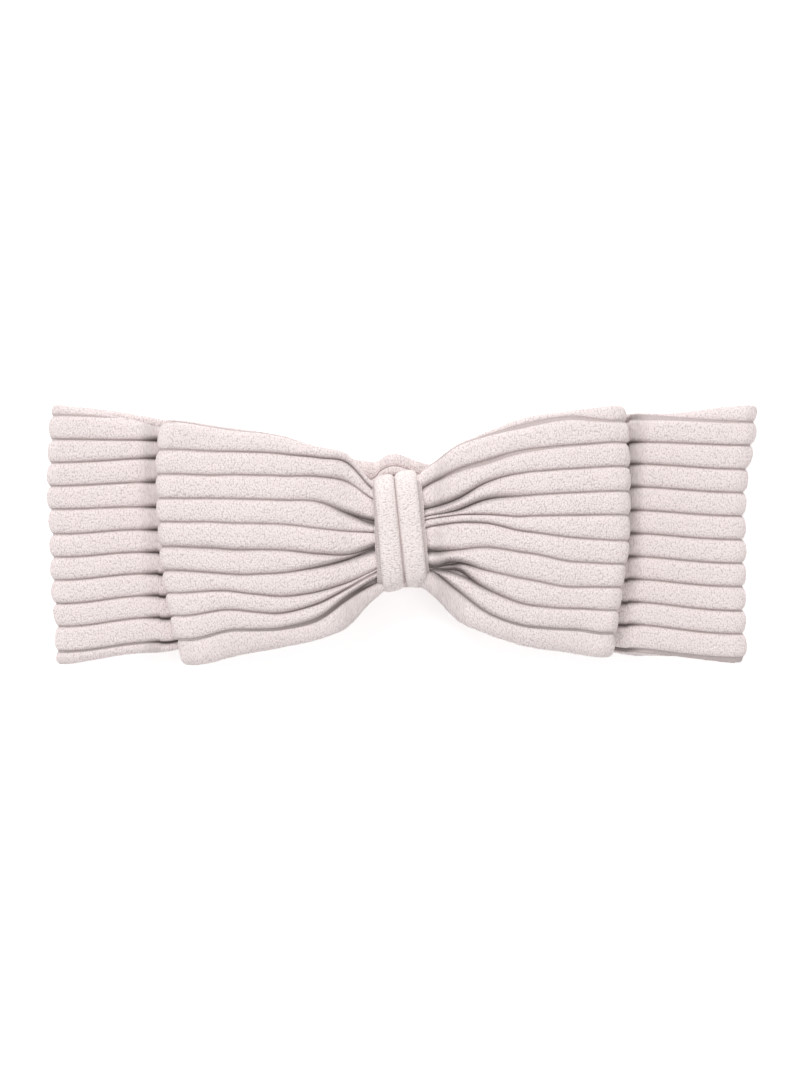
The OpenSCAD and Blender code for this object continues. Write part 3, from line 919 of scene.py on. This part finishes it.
def knot_path(half_y, inset):
    """A rounded rectangle, inset from the knot's outline, in even steps, with its direction."""
    squareness = 3.4
    centre_z = (KNOT_TOP_Z + KNOT_LOW_Z) / 2
    half_z = (KNOT_TOP_Z - KNOT_LOW_Z) / 2
    t = np.linspace(0, 2 * math.pi, 720, endpoint=False)
    y = (half_y - inset) * np.sign(np.cos(t)) * np.abs(np.cos(t)) ** (2 / squareness)
    z = centre_z + (half_z - inset) * np.sign(np.sin(t)) * np.abs(np.sin(t)) ** (2 / squareness)
    run = np.concatenate([[0], np.cumsum(np.hypot(np.diff(y), np.diff(z)))])
    even = np.linspace(0, run[-1], 250)
    y, z = np.interp(even, run, y), np.interp(even, run, z)
    ty, tz = np.roll(y, -1) - np.roll(y, 1), np.roll(z, -1) - np.roll(z, 1)
    size = np.hypot(ty, tz)
    return y, z, ty / size, tz / size


def knot():
    """Two ribs of the same cloth wrapped round the gathers, as one closed ring."""
    half_y, thick, rise = 19.0, 0.9, 1.8
    y, z, ty, tz = knot_path(half_y, thick + rise)
    down = np.clip(0.5 - y / (2 * half_y), 0, 1)
    left, right = 6.5 + 0.9 * down, 7.3 - 0.1 * down
    left_strip, right_strip = 0.3 + 1.1 * down, 1.0 - 0.4 * down
    split = 0.15 + 0.55 * down**2
    grooves = np.stack([-(left + left_strip / 2), np.zeros_like(y), right + right_strip / 2], 1)
    channels = np.stack([left_strip, split, right_strip], 1)
    margin = 0.35
    tube = Tube(y, z, tz, -ty, grooves, channels, -(left + left_strip + margin),
                right + right_strip + margin, thick, rise, flat=3.4, edge_roll=0.9, samples=20, seed=90,
                edge_share=0.15, inner_rise=0.2)
    across = tube.points[:, :, 1].copy()
    up = tube.points[:, :, 0].copy()
    lean, step = 0.105, 0.21
    tube.points[:, :, 0] = across - lean * up - 0.9
    tube.points[:, :, 1] = up + step * across + 1.1
    # The knot takes the paler copy of the terry: painted light
    obj = tube_piece("knot_wrap_cloth", tube, TERRY_KNOT_LIT, ring=True)
    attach(obj, "knot")
    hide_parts("knot_wrap")


# ---------------------------------------------------------------- pieces inside

def rides_body(name):
    """The body that the record puts this node on."""
    return next(b for b, nodes in frame["record"]["behaviour"]["bodies"].items() if name in nodes)


def woven_strip(name):
    """The elastic: a strip with raised cords along it and soft edges."""
    a, b = low(name), high(name)
    x = np.linspace(a[0], b[0], 120)
    y = np.linspace(a[1], b[1], 91)
    gx, gy = np.meshgrid(x, y, indexing="ij")
    mid, half = (a[2] + b[2]) / 2, (b[2] - a[2]) / 2
    edge = np.clip(1 - np.abs((gy - (a[1] + b[1]) / 2) / ((b[1] - a[1]) / 2)) ** 30, 0.12, 1)
    cord = 0.82 + 0.18 * np.abs(np.sin(gy * math.pi / 1.1)) * (1 + 0.25 * np.sin(gx * 5.2))
    lift = half * edge * np.clip(cord, 0, 1)
    ring = np.concatenate([np.stack([gx, gy, mid + lift], 2),
                           np.stack([gx, gy, mid - lift], 2)[:, ::-1]], 1)
    rows, cols = ring.shape[:2]
    obj = mesh_piece(f"{name}_weave", ring, grid_faces(rows, cols), ELASTIC, caps=end_caps(rows, cols))
    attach(obj, rides_body(name))
    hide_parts(name)


def thread_run(name, along):
    """Zigzag stitches that fill the place of one row of sewing; along is 0 for X and 1 for Y."""
    a, b = low(name), high(name)
    across = 1 - along
    r = min(0.3, (b[2] - a[2]) / 2 - 0.02)
    length, width = b[along] - a[along], b[across] - a[across]
    turns = max(4, int(length / 1.4))
    t = np.linspace(0, turns, turns * 12 + 1)
    saw = np.abs((t % 2) - 1) * 2 - 1
    centre = np.zeros((len(t), 3))
    centre[:, along] = a[along] + r + (length - 2 * r) * t / turns
    centre[:, across] = (a[across] + b[across]) / 2 + saw * (width / 2 - r - 0.05)
    centre[:, 2] = (a[2] + b[2]) / 2 + 0.08 * np.sin(t * math.pi)
    tangent = np.gradient(centre, axis=0)
    tangent /= np.linalg.norm(tangent, axis=1)[:, None]
    side = np.cross(tangent, [0, 0, 1.0])
    side /= np.linalg.norm(side, axis=1)[:, None]
    up = np.cross(side, tangent)
    phi = np.linspace(0, 2 * math.pi, 10, endpoint=False)
    twist = 1 + 0.12 * np.sin(3 * phi[None, :] + t[:, None] * 9)
    ring = centre[:, None] + r * 0.9 * twist[..., None] * (
        np.cos(phi)[None, :, None] * side[:, None] + np.sin(phi)[None, :, None] * up[:, None])
    rows, cols = ring.shape[:2]
    obj = mesh_piece(f"{name}_stitches", ring, grid_faces(rows, cols), THREAD, caps=end_caps(rows, cols))
    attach(obj, rides_body(name))
    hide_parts(name)


# ---------------------------------------------------------------- stage, light and camera

def stage():
    """A white floor with a faint glow, so that the background is as white as the photo's."""
    size, z = 2.5, -0.0002
    corners = [(-size, -size, z), (size, -size, z), (size, size, z), (-size, size, z)]
    mesh = bpy.data.meshes.new("floor")
    mesh.from_pydata(corners, [], [(0, 1, 2, 3)])
    floor = bpy.data.objects.new("floor", mesh)
    bpy.context.scene.collection.objects.link(floor)
    white = (1.0, 1.0, 1.0, 1)
    mesh.materials.append(new_material("floor_white", {
        "Base Color": white, "Roughness": 1.0, "Specular IOR Level": 0.0,
        "Emission Color": white, "Emission Strength": 0.3})[0])


def lamp(name, place, size, power):
    """A round lamp that points at the middle of the headband."""
    data = bpy.data.lights.new(name, "AREA")
    data.shape, data.size, data.energy = "DISK", size, power
    obj = bpy.data.objects.new(name, data)
    obj.location = place
    obj.rotation_euler = (-Vector(place)).to_track_quat("-Z", "Y").to_euler()
    bpy.context.scene.collection.objects.link(obj)


def lights():
    """An even white sky, a key lamp from the upper left and a weak fill from the lower right."""
    world = bpy.data.worlds.new("studio")
    world.use_nodes = True
    back = world.node_tree.nodes["Background"]
    back.inputs["Color"].default_value = (1, 1, 1, 1)
    back.inputs["Strength"].default_value = 0.62
    bpy.context.scene.world = world
    lamp("key", place=(-0.55, 1.4, 1.75), size=1.0, power=31.5)
    lamp("fill", place=(0.6, -0.5, 2.0), size=1.6, power=7.2)


def camera():
    """Straight above, as in the photo, and wide enough for its white margins."""
    focal, sensor = 100.0, 36.0
    view_width = 266.7 * MM
    cam = bpy.data.cameras.new("camera")
    cam.lens, cam.sensor_width, cam.sensor_fit = focal, sensor, "HORIZONTAL"
    cam.clip_start, cam.clip_end = 0.01, 10
    obj = bpy.data.objects.new("camera", cam)
    obj.location = (-0.8 * MM, -0.3 * MM, view_width * focal / sensor + FRONT_TOP_Z * MM)
    obj.rotation_euler = (0, 0, 0)
    bpy.context.scene.collection.objects.link(obj)
    bpy.context.scene.camera = obj
    bpy.context.scene.view_settings.view_transform = "Standard"


camera()
lights()
stage()
for side in (-1, 1):
    band_back(side)
    band_fold(side)
    bow_lobe(side)
band_front_left()
band_front_right()
knot()
woven_strip("nape_elastic")
for name, along in (("elastic_tack_left", 1), ("elastic_tack_right", 1), ("bow_seam", 1),
                    ("bow_tack", 1), ("knot_seam", 0)):
    thread_run(name, along)
